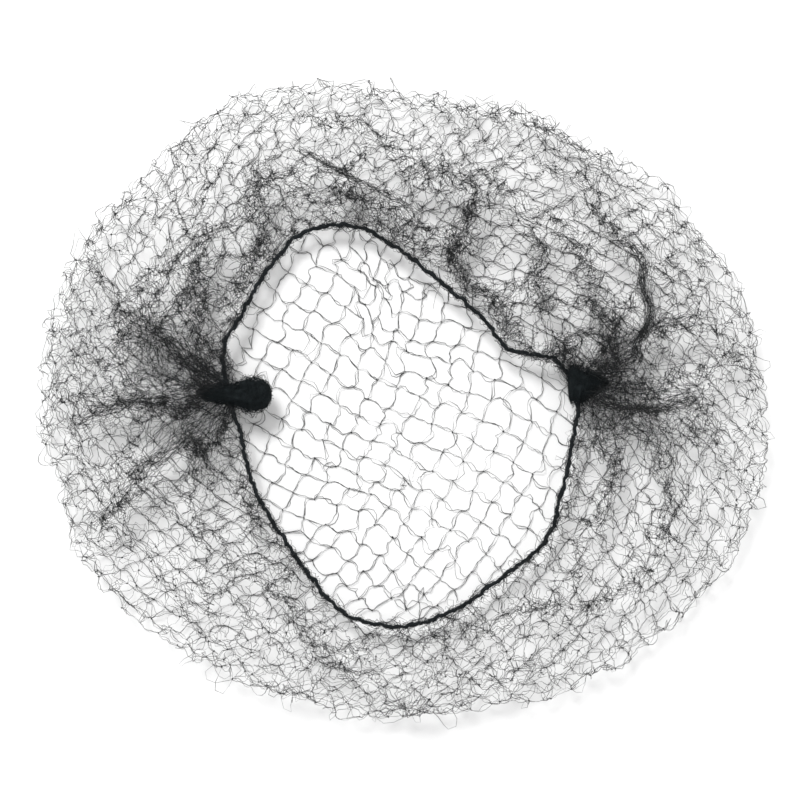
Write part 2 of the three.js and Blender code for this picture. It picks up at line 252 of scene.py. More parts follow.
def rim_line(bearing):
    return polar(OPENING_RADIUS * around(RIM, bearing), bearing, RIM_HEIGHT * around(RISE, bearing)) + SHIFT


BEARING_STEPS = 720
SHARE_STEPS = 240
ARC_POINTS = 15


def bag_profiles():
    """The bag from the middle of the crown to the rim, at each bearing and share of the way, and the share at
    which the crown ends."""
    table = np.zeros((BEARING_STEPS, SHARE_STEPS + 1, 2))
    crown_ends = np.zeros(BEARING_STEPS)
    turn = np.linspace(0, math.pi / 2, ARC_POINTS)
    way = np.linspace(0, 1, ARC_POINTS)
    shares = np.linspace(0, 1, SHARE_STEPS + 1)
    for step in range(BEARING_STEPS):
        bearing = np.array(step * 360 / BEARING_STEPS)
        out = outline_radius(bearing)
        rim = OPENING_RADIUS * around(RIM, bearing) + ELASTIC_DIAMETER / 2
        low = RIM_HEIGHT * around(RISE, bearing)
        crest = min(CREST_REACH / (out - rim), 0.5)
        side = np.stack([out - SIDE_ROUND * (1 - np.sin(turn)), SIDE_HEIGHT * (1 - np.cos(turn))], axis=1)
        rise = np.stack([
            out - (out - rim) * crest * (1 - np.cos(turn)),
            SIDE_HEIGHT + (CREST_HEIGHT - SIDE_HEIGHT) * np.sin(turn),
        ], axis=1)
        fall = np.stack([
            out - (out - rim) * (crest + (1 - crest) * way),
            low + (CREST_HEIGHT - low) * (1 + np.cos(math.pi * way)) / 2,
        ], axis=1)
        line = np.concatenate([[(0, 0)], side, rise[1:], fall[1:]])
        length = np.concatenate([[0], np.cumsum(np.linalg.norm(np.diff(line, axis=0), axis=1))])
        for axis in (0, 1):
            table[step, :, axis] = np.interp(shares * length[-1], length, line[:, axis])
        crown_ends[step] = length[len(side)] / length[-1]
    return table, crown_ends


PROFILES, CROWN_ENDS = bag_profiles()


def on_bag(bearing, share):
    """Points of the bag at bearings in degrees and shares of the way from the crown's middle to the rim."""
    place = np.mod(bearing, 360) / 360 * BEARING_STEPS
    row = np.floor(place).astype(int) % BEARING_STEPS
    t = (place - np.floor(place))[..., None]
    column = np.clip(share, 0, 1) * SHARE_STEPS
    before = np.minimum(np.floor(column).astype(int), SHARE_STEPS - 1)
    s = (column - before)[..., None]
    after_row = (row + 1) % BEARING_STEPS
    near = PROFILES[row, before] * (1 - s) + PROFILES[row, before + 1] * s
    far = PROFILES[after_row, before] * (1 - s) + PROFILES[after_row, before + 1] * s
    spot = near * (1 - t) + far * t
    return polar(spot[..., 0], bearing, spot[..., 1]) + SHIFT


def crown_end(bearing):
    """The share of the way from the crown's middle to the rim at which the side turns over."""
    steps = np.arange(BEARING_STEPS + 1) * 360 / BEARING_STEPS
    return np.interp(np.mod(bearing, 360), steps, np.append(CROWN_ENDS, CROWN_ENDS[0]))


# Random fields

def ripple(places, wavelength, waves=24):
    """A smooth random field of about unit size over flat places, with bumps of about one wavelength."""
    turn = rng.uniform(0, TAU, waves)
    pace = TAU / (wavelength * rng.uniform(0.7, 1.5, waves))
    phase = rng.uniform(0, TAU, waves)
    crests = places @ np.stack([np.cos(turn) * pace, np.sin(turn) * pace]) + phase
    return np.cos(crests).sum(axis=-1) * math.sqrt(2 / waves)


def ripple_vectors(places, wavelength):
    return np.stack([ripple(places, wavelength) for _ in range(3)], axis=-1)


def wander(count, points, pace):
    """Smooth random numbers of about unit size along each of many paths."""
    step = np.arange(points)
    value = np.zeros((count, points))
    for _ in range(5):
        wave = TAU / (pace * rng.uniform(0.6, 1.6, (count, 1)))
        value += np.cos(step * wave + rng.uniform(0, TAU, (count, 1)))
    return value * math.sqrt(2 / 5)


def soften(paths, rounds):
    """Rounds the corners of paths, with their ends kept."""
    for _ in range(rounds):
        paths[:, 1:-1] = (paths[:, :-2] + 6 * paths[:, 1:-1] + paths[:, 2:]) / 8
    return paths


# Folds

def upper_height(place):
    """Height of the upper layer over a place of the plan."""
    x, y = place[0] - SHIFT[0], place[1] - SHIFT[1]
    row = int(np.mod(math.degrees(math.atan2(y, x)), 360) / 360 * BEARING_STEPS) % BEARING_STEPS
    upper = PROFILES[row, int(CROWN_ENDS[row] * SHARE_STEPS) + 1:][::-1]
    return np.interp(math.hypot(x, y), upper[:, 0], upper[:, 1])


def fold_route(corners, points):
    """Points an even distance apart along a fold, on the upper layer."""
    corners = np.array(corners) * [NET_LENGTH / 2, NET_WIDTH / 2]
    length = np.concatenate([[0], np.cumsum(np.linalg.norm(np.diff(corners, axis=0), axis=1))])
    at = np.linspace(0, length[-1], points)
    plan = np.stack([np.interp(at, length, corners[:, 0]), np.interp(at, length, corners[:, 1])], axis=-1)
    plan = soften(plan[None], 8)[0]
    return np.array([(x, y, upper_height((x, y))) for x, y in plan])


FOLD_ROUTES = [fold_route(corners, 4 * FOLD_POINTS) for _, _, corners in FOLDS]


def fold_strands(count, spread, route):
    """Strands of netting that lie together in a fold, and part towards its ends."""
    middle = rng.uniform(0.08, 0.92, (count, 1))
    reach = rng.uniform(0.1, 0.3, (count, 1))
    way = np.clip(middle + reach * np.linspace(-1, 1, FOLD_POINTS), 0, 1)
    at = way * (len(route) - 1)
    steps = np.arange(len(route))
    line = np.stack([np.interp(at, steps, route[:, axis]) for axis in range(3)], axis=-1)
    ahead = unit(np.gradient(line, axis=1) + 1e-9)
    side = unit(np.cross(UP, ahead))
    part = 0.75 + 0.8 * (2 * way - 1) ** 2
    off = spread * part * rng.normal(size=(count, 1)) + FOLD_WAVER * wander(count, FOLD_POINTS, 5)
    off = off + FOLD_KINK * rng.normal(size=off.shape)
    lift = FOLD_LIFT + 0.5 * spread * rng.normal(size=(count, 1))
    lift = lift + 0.5 * FOLD_WAVER * wander(count, FOLD_POINTS, 6)
    return line + off[..., None] * side + np.clip(lift, -FOLD_LIMIT, FOLD_LIMIT)[..., None] * UP


# The net's knots

def laid_rows():
    """For each row of knots, its share of the way from the front edge, -1, to the back edge, 1."""
    row = np.arange(ROWS + 1)
    share = np.interp(row, [0, FRONT_ROWS, ROWS - BACK_ROWS, ROWS], [-1, -CROWN_SHARE, CROWN_SHARE, 1])
    for _ in range(12):
        share[1:-1] = (share[:-2] + 2 * share[1:-1] + share[2:]) / 4
    return share


def swing(turn):
    """The bearing in degrees of a turn round the net, which runs from tie to tie."""
    right = (1 + np.cos(turn)) / 2
    middle, width, most = DRAWN_ROUND
    drawn_round = most * np.exp(-((np.degrees(turn) - middle) / width) ** 2)
    return np.degrees(turn) + drawn_round + RIGHT_TIE_BEARING * right + (LEFT_TIE_BEARING - 180) * (1 - right)


def knots_on_bag(along, row):
    """Where the knots would lie on the smooth bag: their places and bearings, how far from the crown's middle
    they are in the net, and how far up from the outline to the rim, both from 0 to 1."""
    latitude = math.pi / 2 * along
    longitude = math.pi / 2 * laid_rows()[row]
    x = np.sin(latitude)
    y = np.cos(latitude) * np.sin(longitude)
    from_crown = np.arccos(np.clip(np.cos(latitude) * np.cos(longitude), -1, 1)) / (math.pi / 2)
    bearing = swing(np.arctan2(y, x))
    in_crown = 1 - smooth(from_crown / CROWN_SHARE * 1.7 - 0.7)
    laid = crown_end(bearing)
    past = np.clip((from_crown - CROWN_SHARE) / (1 - CROWN_SHARE), 0, 1)
    drawn = around(DRAWN, bearing)
    drawn = np.where(np.abs(drawn) < 0.02, 0.02, drawn)
    way = (np.sqrt((1 - drawn) ** 2 + 4 * drawn * past) - (1 - drawn)) / (2 * drawn)
    share = np.where(from_crown < CROWN_SHARE, from_crown / CROWN_SHARE * laid, laid + (1 - laid) * way)
    return on_bag(bearing + CROWN_TURN * in_crown, share), bearing, from_crown, way


def ripple_knots(knots, flat, ripples, amount):
    """Shifts knots by ripples over the flat net, as far as the amount at each knot says."""
    for wavelength, plan, height in ripples:
        knots += amount[..., None] * ripple_vectors(flat, wavelength) * [plan, plan, height]


def pleat_knots(knots, tie, along, row, upper):
    """Shifts the upper layer's knots into pleats that run out from each tie."""
    out = (knots - tie) * [1, 1, 0]
    to_tie = np.linalg.norm(out, axis=-1)
    ray = unit(out)
    side = np.stack([-ray[..., 1], ray[..., 0], 0 * along], axis=-1)
    fan = upper * np.exp(-((to_tie / FAN_REACH) ** 2))
    places = np.stack([row * PITCH, along * PLEATS_ALONG], axis=-1)
    sideways = sum(ripple(places, wavelength) * share for wavelength, share in PLEATS_SIDEWAYS)
    knots += side * (sideways * to_tie * fan)[..., None]
    wavelength, height = PLEATS_UP
    knots[..., 2] += ripple(places, wavelength) * height * fan * smooth(to_tie / PLEATS_START)


def fold_knots(knots, upper):
    """Draws the upper layer's knots towards the folds that pass near them."""
    for route in FOLD_ROUTES:
        apart = np.linalg.norm(knots[..., None, :2] - route[:, :2], axis=-1)
        nearest = route[np.argmin(apart, axis=-1)]
        hold = FOLD_PULL * upper * np.exp(-((apart.min(axis=-1) / FOLD_REACH) ** 2))
        knots += (nearest - knots) * hold[..., None] * [1, 1, 0.5]


def keep_clear(knots, upper):
    """Keeps the upper layer's knots out of the opening, but for where it hangs, and all knots inside the
    outline."""
    place = knots - SHIFT
    reach = np.maximum(np.hypot(place[..., 0], place[..., 1]), 1 * MM)
    bearing = np.mod(np.degrees(np.arctan2(place[..., 1], place[..., 0])), 360)
    past_rim = reach - OPENING_RADIUS * around(RIM, bearing) - RIM_CLEARANCE
    shift = np.clip(-past_rim, 0, None) * (upper > 0.5)
    shift -= np.clip(reach - outline_radius(bearing) - OUTLINE_ALLOWANCE, 0, None)
    for middle, width, hang in HANGING:
        near = np.exp(-((bearing - middle) / width) ** 2 - (np.clip(past_rim, 0, None) / HANGING_DEPTH) ** 2)
        shift -= hang * near * (upper > 0.5)
    knots[..., :2] += place[..., :2] / reach[..., None] * shift[..., None]


def lay_knots():
    """Every knot's place, on a grid of columns and rows of which every second place holds a knot, and how
    loosely the netting lies there."""
    column, row = np.meshgrid(np.arange(COLUMNS + 1), np.arange(ROWS + 1), indexing="ij")
    along = 2 * column / COLUMNS - 1
    flat = np.stack([column * PITCH, row * PITCH], axis=-1)
    knots, bearing, from_crown, way = knots_on_bag(along, row)
    upper = smooth((from_crown - CROWN_SHARE) / 0.1)

    # The upper layer is crumpled, and the crown nearly flat
    crumple = upper * around(CRUMPLED, bearing) * smooth((1 - way) * 4 + 0.15)
    ripple_knots(knots, flat, UPPER_RIPPLES, crumple)
    ripple_knots(knots, flat, CROWN_RIPPLES, 1 - upper * smooth((1 - way) * 3))
    knots += rng.normal(size=knots.shape) * KNOT_JITTER * (1 + 0.5 * upper)[..., None]

    # The crown is crumpled outside the opening, though less, and in one looser patch
    outside = smooth((from_crown / CROWN_SHARE - 0.55) / 0.3) * (1 - upper)
    ripple_knots(knots, flat, COVERED_RIPPLES, outside)
    from_patch = np.hypot(knots[..., 0] - PATCH_PLACE[0], knots[..., 1] - PATCH_PLACE[1]) / PATCH_REACH
    patch = (1 - upper) * np.exp(-from_patch ** 2)
    ripple_knots(knots, flat, PATCH_RIPPLES, patch)

    tie = np.where((along > 0)[..., None], rim_line(RIGHT_TIE_BEARING), rim_line(LEFT_TIE_BEARING))
    pleat_knots(knots, tie, along, row, upper)
    fold_knots(knots, upper)
    keep_clear(knots, upper)

    # All yarns meet in the tied bunches
    from_end = np.minimum(column, COLUMNS - column) * PITCH
    bundle = np.exp(-((from_end / TIE_REACH) ** 2))[..., None]
    spot = rng.normal(size=knots.shape) * TIE_SPREAD
    knots = knots * (1 - bundle) + (tie + spot) * bundle
    return knots, np.maximum(upper, 0.5 * outside + 0.6 * patch)


def tighten(knots, rounds=60, pull=0.4):
    """Draws together knots that lie further apart than the yarn between them reaches."""
    held = np.zeros(knots.shape[:2], bool)
    held[[0, -1], :] = True
    held[:, [0, -1]] = True
    ease = np.where(held, 0.0, 1.0)
    before, after = slice(0, -1), slice(1, None)
    slants = [((before, before), (after, after)), ((before, after), (after, before))]
    for _ in range(rounds):
        for a, b in slants:
            span = knots[b] - knots[a]
            length = np.linalg.norm(span, axis=-1)
            over = np.clip(length - TAUT_LENGTH, 0, None) / np.maximum(length, 1e-9)
            step = span * (pull * over)[..., None]
            knots[a] += step * ease[a][..., None]
            knots[b] -= step * ease[b][..., None]
    return knots


# Yarn

def yarn_paths(knots, looseness):
    """The two filaments of each yarn, a zigzag between two rows of knots that curls where it is slack, and
    how thick each is along its way."""
    column = np.arange(TIED_COLUMNS, COLUMNS + 1 - TIED_COLUMNS)
    lines, slackness = [], []
    for row in range(ROWS):
        level = row + (column + row) % 2
        lines.append(knots[column, level])
        slackness.append(looseness[column, level])
    ends = np.array(lines)
    loose = np.array(slackness)
    loose = (loose[:, :-1] + loose[:, 1:]) / 2
    span = ends[:, 1:] - ends[:, :-1]
    chord = np.linalg.norm(span, axis=-1)
    bars = chord.shape
    rising = np.where((column[None, :-1] + np.arange(ROWS)[:, None]) % 2 == 0, 1.0, -1.0)

    # A slack bar bends in a plane of its own, by one tidy wave and three random ones
    tilt = rng.normal(size=bars) * (0.2 + 0.6 * loose)
    side = unit(np.cross(UP, span))
    top = np.cross(unit(span), side)
    bend_side = side * np.cos(tilt)[..., None] + top * np.sin(tilt)[..., None]
    length = BAR_LENGTH * (1 + 0.07 * np.abs(rng.normal(size=bars)) + 0.06 * loose)
    bend = 2.05 * np.sqrt(1 - np.clip(chord / length, 0.14, 0.985))
    tidy = -rising * (0.5 - 0.4 * loose)
    curl = 0.4 + 0.5 * loose
    phase = rng.uniform(0, TAU, bars)
    second = rng.normal(size=bars) * (0.45 + 0.05 * loose)
    second_phase = rng.uniform(0, TAU, bars)
    arch = rng.normal(size=bars) * 0.7

    # Its two filaments part from each other, and rise or sink together where the netting is loose
    parting = PARTING * (1 + 0.4 * loose)
    lift = rng.normal(size=bars) * 0.5 * MM * loose
    partings = rng.normal(size=(3,) + bars + (1,)) * np.array([0.8, 0.9, 0.6]).reshape(3, 1, 1, 1)

    filaments = []
    for points, way in zip(POINTS_PER_BAR, (1, -1)):
        own = bend * (1 + (0.08 + 0.14 * loose) * way)
        drift = phase + (0.3 + 0.7 * loose) * way
        s = (np.arange(points) + 0.5) / points * TAU
        angle = tidy[..., None] * np.cos(s)
        angle = angle + curl[..., None] * np.cos(s + drift[..., None]) + arch[..., None] * np.cos(s / 2)
        angle = own[..., None] * (angle + second[..., None] * np.cos(2 * s + second_phase[..., None]))
        steps = np.cumsum(np.exp(1j * angle), axis=-1)
        end = steps[..., -1:]
        end = end / np.abs(end) * np.maximum(np.abs(end), 0.3 * points)
        steps = np.concatenate([np.zeros(bars + (1,)), steps[..., :-1]], axis=-1) / end
        height = np.sin(math.pi * np.arange(points) / points) * lift[..., None]
        place = ends[:, :-1, None] + span[:, :, None] * steps.real[..., None]
        place = place + (bend_side * chord[..., None])[:, :, None] * steps.imag[..., None]
        place[..., 2] += height
        t = np.arange(points) / points
        waves = (np.sin(math.pi * t), np.sin(TAU * t), np.sin(2 * TAU * t))
        parted = sum(size * wave for size, wave in zip(partings, waves)) * parting[..., None]
        place = place + side[:, :, None] * (parted * way)[..., None]
        crimp = rng.normal(size=place.shape) * (CRIMP * (1 + 0.9 * loose))[..., None, None]
        place = place + crimp * (t > 0)[:, None]
        path = place.reshape(ROWS, -1, 3)
        path = soften(np.concatenate([path, ends[:, -1:]], axis=1), 1)
        girth = 1 + FULLNESS * (1 - np.repeat(loose, points, axis=1))
        filaments.append((path, np.concatenate([girth, girth[:, -1:]], axis=1)))
    return filaments


# Meshes

ASIDE = np.array([0.23, 0.31, 0.92])  # a slanting direction, which hardly any path follows


def tubes(paths, radius, sides=3):
    """Closed thin tubes along paths with the same number of points, as vertices and faces."""
    count, points, _ = paths.shape
    ahead = unit(np.gradient(paths, axis=1))
    side = unit(np.cross(ASIDE, ahead))
    top = np.cross(ahead, side)
    turn = np.arange(sides) * TAU / sides
    reach = np.broadcast_to(radius, (count, points))[:, 1:-1, None, None]
    ring = side[:, 1:-1, None] * np.cos(turn)[:, None] + top[:, 1:-1, None] * np.sin(turn)[:, None]
    rings = paths[:, 1:-1, None] + ring * reach
    inner = points - 2
    size = inner * sides + 2
    vertices = np.concatenate([rings.reshape(count, -1, 3), paths[:, :1], paths[:, -1:]], axis=1)
    step = np.arange(inner - 1)[:, None] * sides
    corner = np.arange(sides)[None]
    following = (corner + 1) % sides
    ring_quads = (step + corner, step + following, step + sides + following, step + sides + corner)
    quads = np.stack(ring_quads, axis=-1).reshape(-1, 4)
    tip = np.full(sides, inner * sides)
    first = np.stack([tip, following[0], corner[0]], axis=-1)
    last_ring = (inner - 1) * sides
    last = np.stack([tip + 1, last_ring + corner[0], last_ring + following[0]], axis=-1)
    start = np.arange(count)[:, None, None] * size
    quads = (quads[None] + start).reshape(-1, 4)
    ends = (np.concatenate([first, last])[None] + start).reshape(-1, 3)
    return vertices.reshape(-1, 3), quads, ends


def loops(paths, radius, sides=8):
    """A tube along one closed path, as vertices and faces."""
    points = len(paths)
    ahead = unit(np.roll(paths, -1, axis=0) - np.roll(paths, 1, axis=0))
    side = unit(np.cross(UP, ahead))
    top = np.cross(ahead, side)
    turn = np.arange(sides) * TAU / sides
    reach = np.broadcast_to(radius, (points,))[:, None, None]
    ring = side[:, None] * np.cos(turn)[:, None] + top[:, None] * np.sin(turn)[:, None]
    vertices = (paths[:, None] + ring * reach).reshape(-1, 3)
    here = np.arange(points)[:, None] * sides
    there = (here + sides) % (points * sides)
    corner = np.arange(sides)[None]
    following = (corner + 1) % sides
    quads = np.stack([here + corner, here + following, there + following, there + corner], axis=-1)
    return vertices, quads.reshape(-1, 4), np.zeros((0, 3), int)


def joined(parts):
    """Several sets of vertices and faces as one."""
    vertices, quads, triangles, start = [], [], [], 0
    for part in parts:
        vertices.append(part[0])
        quads.append(part[1] + start)
        triangles.append(part[2] + start)
        start += len(part[0])
    return np.concatenate(vertices), np.concatenate(quads), np.concatenate(triangles)


def make_piece(name, shape, material, node):
    """A mesh object from vertices, quads and triangles, which stands for one node of the frame."""
    vertices, quads, triangles = shape
    mesh = bpy.data.meshes.new(name)
    mesh.from_pydata(vertices.tolist(), [], quads.tolist() + triangles.tolist())
    mesh.shade_smooth()
    mesh.materials.append(material)
    piece = bpy.data.objects.new(name, mesh)
    bpy.context.scene.collection.objects.link(piece)
    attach(piece, "root")
    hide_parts(node)


# Finishes

class Wire:
    """A socket of a material, with which shader maths is written as Python."""

    def __init__(self, tree, socket):
        self.tree = tree
        self.socket = socket

    def plug(self, target):
        self.tree.links.new(self.socket, target)

    def maths(self, operation, *terms):
        node = self.tree.nodes.new("ShaderNodeMath")
        node.operation = operation
        for target, term in zip(node.inputs, terms):
            if isinstance(term, Wire):
                term.plug(target)
            else:
                target.default_value = term
        return Wire(self.tree, node.outputs[0])

    def __add__(self, other):
        return self.maths("ADD", self, other)

    def __radd__(self, other):
        return self.maths("ADD", other, self)

    def __mul__(self, other):
        return self.maths("MULTIPLY", self, other)

    def __rmul__(self, other):
        return self.maths("MULTIPLY", other, self)


class Finish:
    """A material made node by node round its Principled shader."""

    def __init__(self, name):
        self.material = bpy.data.materials.new(name)
        self.material.use_nodes = True
        self.tree = self.material.node_tree
        self.shader = self.tree.nodes["Principled BSDF"]

    def node(self, kind, settings=None, inputs=None, output=0):
        """A node of any kind: its settings first, then the values or wires of its sockets."""
        node = self.tree.nodes.new(kind)
        for name, value in (settings or {}).items():
            setattr(node, name, value)
        for name, value in (inputs or {}).items():
            if isinstance(value, Wire):
                value.plug(node.inputs[name])
            else:
                node.inputs[name].default_value = value
        return Wire(self.tree, node.outputs[output])

    def noise(self, scale, detail=3):
        places = self.node("ShaderNodeTexCoord", output="Object")
        return self.node(
            "ShaderNodeTexNoise", {}, {"Vector": places, "Scale": scale, "Detail": detail}, output="Fac")

    def between(self, one, other, mask):
        """A colour between two, by a mask from 0 to 1."""
        return self.node(
            "ShaderNodeMix", {"data_type": "RGBA"}, {"Factor": mask, 6: one, 7: other}, output=2)

    def bump(self, height, strength, distance):
        return self.node("ShaderNodeBump", {}, {"Height": height, "Strength": strength, "Distance": distance})

    def set(self, **sockets):
        for name, value in sockets.items():
            target = self.shader.inputs[name.replace("_", " ")]
            if isinstance(value, Wire):
                value.plug(target)
            else:
                target.default_value = value
        return self.material


def nylon_finish():
    """Fine black nylon filament: nearly black with a cool cast, duller where it is frayed."""
    finish = Finish("black_nylon")
    shade = finish.noise(900)
    worn = finish.noise(5200, 2)
    colour = finish.between((0.008, 0.01, 0.011, 1), (0.032, 0.033, 0.034, 1), shade)
    return finish.set(
        Base_Color=colour,
        Roughness=0.42 + 0.3 * worn,
        Normal=finish.bump(worn, 0.25, 0.00002),
        Specular_IOR_Level=0.35,
    )


def elastic_finish():
    finish = Finish("wrapped_elastic")
    fibre = finish.noise(7000, 4)
    patch = finish.noise(600)
    colour = finish.between((0.004, 0.006, 0.007, 1), (0.016, 0.02, 0.023, 1), patch)
    return finish.set(
        Base_Color=colour,
        Roughness=0.7 + 0.25 * fibre,
        Normal=finish.bump(fibre, 0.5, 0.00006),
        Specular_IOR_Level=0.25,
    )


def bunch_finish():
    finish = Finish("bunched_netting")
    fibre = finish.noise(4200, 5)
    patch = finish.noise(500)
    colour = finish.between((0.003, 0.006, 0.007, 1), (0.014, 0.019, 0.021, 1), patch)
    return finish.set(
        Base_Color=colour,
        Roughness=0.72 + 0.25 * fibre,
        Normal=finish.bump(fibre, 0.8, 0.00012),
        Specular_IOR_Level=0.2,
    )


def floor_finish():
    finish = Finish("white_surface")
    grain = finish.noise(40, 2)
    return finish.set(
        Base_Color=finish.between((0.9, 0.9, 0.9, 1), (0.92, 0.92, 0.92, 1), grain),
        Roughness=0.9,
        Specular_IOR_Level=0.1,
    )


# The net

NET_PIECES = {
    "net_front": (0, 20),
    "net_crown_front": (20, 40),
    "net_crown_back": (40, 60),
    "net_upper_back": (60, 80),
    "net_back": (80, ROWS),
}
KNOT_CORNERS = np.array([(1, 0, 0), (0, 1, 0), (-1, 0, 0), (0, -1, 0), (0, 0, 1), (0, 0, -1)], float)
KNOT_FACES = np.array([
    (0, 1, 4), (1, 2, 4), (2, 3, 4), (3, 0, 4),
    (1, 0, 5), (2, 1, 5), (3, 2, 5), (0, 3, 5),
])


def make_net(material):
    """The net in five bands of rows, and the strands of its folds."""
    knots, looseness = lay_knots()
    knots = tighten(knots)
    knots[..., 2] = np.maximum(knots[..., 2], LOWEST_KNOT)
    filaments = yarn_paths(knots, looseness)
    for path, _ in filaments:
        path[..., 2] = np.maximum(path[..., 2], FILAMENT_RADIUS)
    for name, (low, high) in NET_PIECES.items():
        parts = []
        for path, girth in filaments:
            rows = path[low:high]
            uneven = np.clip(1 + UNEVENNESS * wander(len(rows), rows.shape[1], 7), 0.5, 1.8)
            parts.append(tubes(rows, FILAMENT_RADIUS * girth[low:high] * uneven))
        parts.append(knot_lumps(knots, low, high))
        make_piece(name, joined(parts), material, "net_bag")
    folds = [fold_strands(count, spread, route) for (count, spread, _), route in zip(FOLDS, FOLD_ROUTES)]
    make_piece("net_folds", tubes(np.concatenate(folds), FILAMENT_RADIUS), material, "net_bag")


def knot_lumps(knots, low, high):
    """A small irregular lump at each knot of some rows."""
    corners = len(KNOT_CORNERS)
    column, row = np.meshgrid(np.arange(COLUMNS + 1), np.arange(low, high), indexing="ij")
    shown = (column > TIED_COLUMNS) & (column < COLUMNS - TIED_COLUMNS) & (row > 0)
    chosen = shown & ((column + row) % 2 == 0)
    middles = knots[column[chosen], row[chosen]]
    size = KNOT_RADIUS * rng.uniform(0.5, 1.35, (len(middles), 1, 3))
    vertices = middles[:, None] + KNOT_CORNERS * size * rng.uniform(0.8, 1.2, (len(middles), corners, 1))
    start = np.arange(len(middles))[:, None, None] * corners
    triangles = (KNOT_FACES + start).reshape(-1, 3)
    return vertices.reshape(-1, 3), np.zeros((0, 4), int), triangles


# The elastic

ELASTIC_POINTS = 1500
ELASTIC_WAVES = (19, 29, 41, 59, 83, 113)  # small waves round the loop
ELASTIC_WAVER = 0.11 * MM
CORE_RADIUS = 0.34 * MM
STRANDS = 3
STRAND_RADIUS = 0.36 * MM
STRAND_OFFSET = 0.28 * MM
STRAND_TURN = 3.4 * MM  # of the loop in which a strand winds round once
FIBRES = 1700
FIBRE_POINTS = 6
FIBRE_RADIUS = 0.06 * MM
FIBRE_REACH = (0.6, 2.6)  # mm along the loop to each side, the shortest and the longest
FIBRE_ROOT = 0.55 * MM  # from the loop's middle, where a fibre's ends lie
FIBRE_RISE = 0.7 * MM
FIBRE_KINK = 0.1 * MM


def even_rim(count):
    """Points of the rim an even distance apart, the directions ahead, aside and up there, and its length."""
    bearing = np.arange(count) * 360 / count
    line = rim_line(bearing)
    length = np.concatenate([[0], np.cumsum(np.linalg.norm(np.diff(line, axis=0), axis=1))])
    whole = length[-1] + np.linalg.norm(line[0] - line[-1])
    line = rim_line(np.interp(np.arange(count) * whole / count, length, bearing))
    ahead = unit(np.roll(line, -1, axis=0) - np.roll(line, 1, axis=0))
    side = unit(np.cross(UP, ahead))
    return line, ahead, side, np.cross(ahead, side), whole


def make_elastic(material):
    """Twisted strands with a fuzz of fibres and of the netting's edge."""
    line, ahead, side, top, whole = even_rim(ELASTIC_POINTS)
    round_turn = TAU * np.arange(ELASTIC_POINTS) / ELASTIC_POINTS
    for waves in ELASTIC_WAVES:
        line = line + side * (ELASTIC_WAVER * np.cos(waves * round_turn + rng.uniform(0, TAU)))[:, None]
    turns = round(whole / STRAND_TURN)
    parts = [loops(line[::4], CORE_RADIUS, 6)]
    for strand in range(STRANDS):
        uneven = 1 + 0.16 * wander(1, ELASTIC_POINTS, 22)[0] + 0.08 * rng.normal(size=ELASTIC_POINTS)
        uneven = np.clip(uneven, 0.4, 1.8)
        turn = turns * round_turn + TAU * strand / STRANDS
        out = side * np.cos(turn)[:, None] + top * np.sin(turn)[:, None]
        parts.append(loops(line + out * (STRAND_OFFSET * uneven)[:, None], STRAND_RADIUS * uneven, 4))

    way = np.linspace(-1, 1, FIBRE_POINTS)
    arch = np.sin(np.linspace(0, math.pi, FIBRE_POINTS))
    start = rng.integers(0, ELASTIC_POINTS, FIBRES)
    turn = rng.uniform(0, TAU, (FIBRES, 1)) + way * rng.normal(size=(FIBRES, 1)) * 1.4
    reach = rng.uniform(*FIBRE_REACH, (FIBRES, 1)) * MM * way
    rise = arch * np.abs(rng.normal(size=(FIBRES, 1))) * FIBRE_RISE + FIBRE_ROOT
    rise = rise + rng.normal(size=(FIBRES, FIBRE_POINTS)) * FIBRE_KINK
    out = side[start][:, None] * np.cos(turn)[..., None] + top[start][:, None] * np.sin(turn)[..., None]
    fibres = line[start][:, None] + ahead[start][:, None] * reach[..., None] + out * rise[..., None]
    parts.append(tubes(fibres, FIBRE_RADIUS))
    make_piece("elastic_cord", joined(parts), material, "elastic_edge")


# The tied bunches

# Sections of each bunch from its tapering outer end to its rounded end in the opening, as shares of its
# length, width and height, and the pleats that run out from it: heading in degrees, length and spread in mm,
# and number of strands
LEFT_BUNCH = [
    (0, 0, 0), (0.04, 0.18, 0.2), (0.14, 0.42, 0.44), (0.28, 0.56, 0.64), (0.44, 0.6, 0.72),
    (0.52, 0.66, 0.78), (0.6, 0.86, 0.88), (0.68, 1, 0.98), (0.77, 1.06, 1), (0.86, 0.98, 0.94),
    (0.92, 0.8, 0.8), (0.97, 0.5, 0.5), (1, 0, 0),
]
LEFT_PLEATS = [
    (86, 8, 1.2, 14), (118, 20, 3, 10), (136, 40, 5, 12), (151, 40, 6, 10), (168, 34, 6, 7), (181, 50, 6, 10),
    (200, 34, 6, 7), (224, 58, 6, 12), (240, 24, 4, 10), (160, 13, 3, 16), (196, 14, 3, 14),
]
RIGHT_BUNCH = [
    (0, 0, 0), (0.05, 0.16, 0.2), (0.2, 0.34, 0.46), (0.46, 0.6, 0.76), (0.72, 0.88, 1), (0.86, 0.98, 0.92),
    (0.94, 0.88, 0.76), (0.985, 0.66, 0.52), (1, 0, 0),
]
RIGHT_PLEATS = [
    (-52, 18, 3, 10), (-24, 30, 5, 8), (-9, 50, 4, 16), (2, 50, 6, 14), (22, 40, 6, 6), (42, 32, 4, 10),
    (64, 24, 4, 8), (100, 18, 4, 8), (26, 13, 3, 26), (-2, 14, 3, 22), (-34, 10, 2, 12),
]

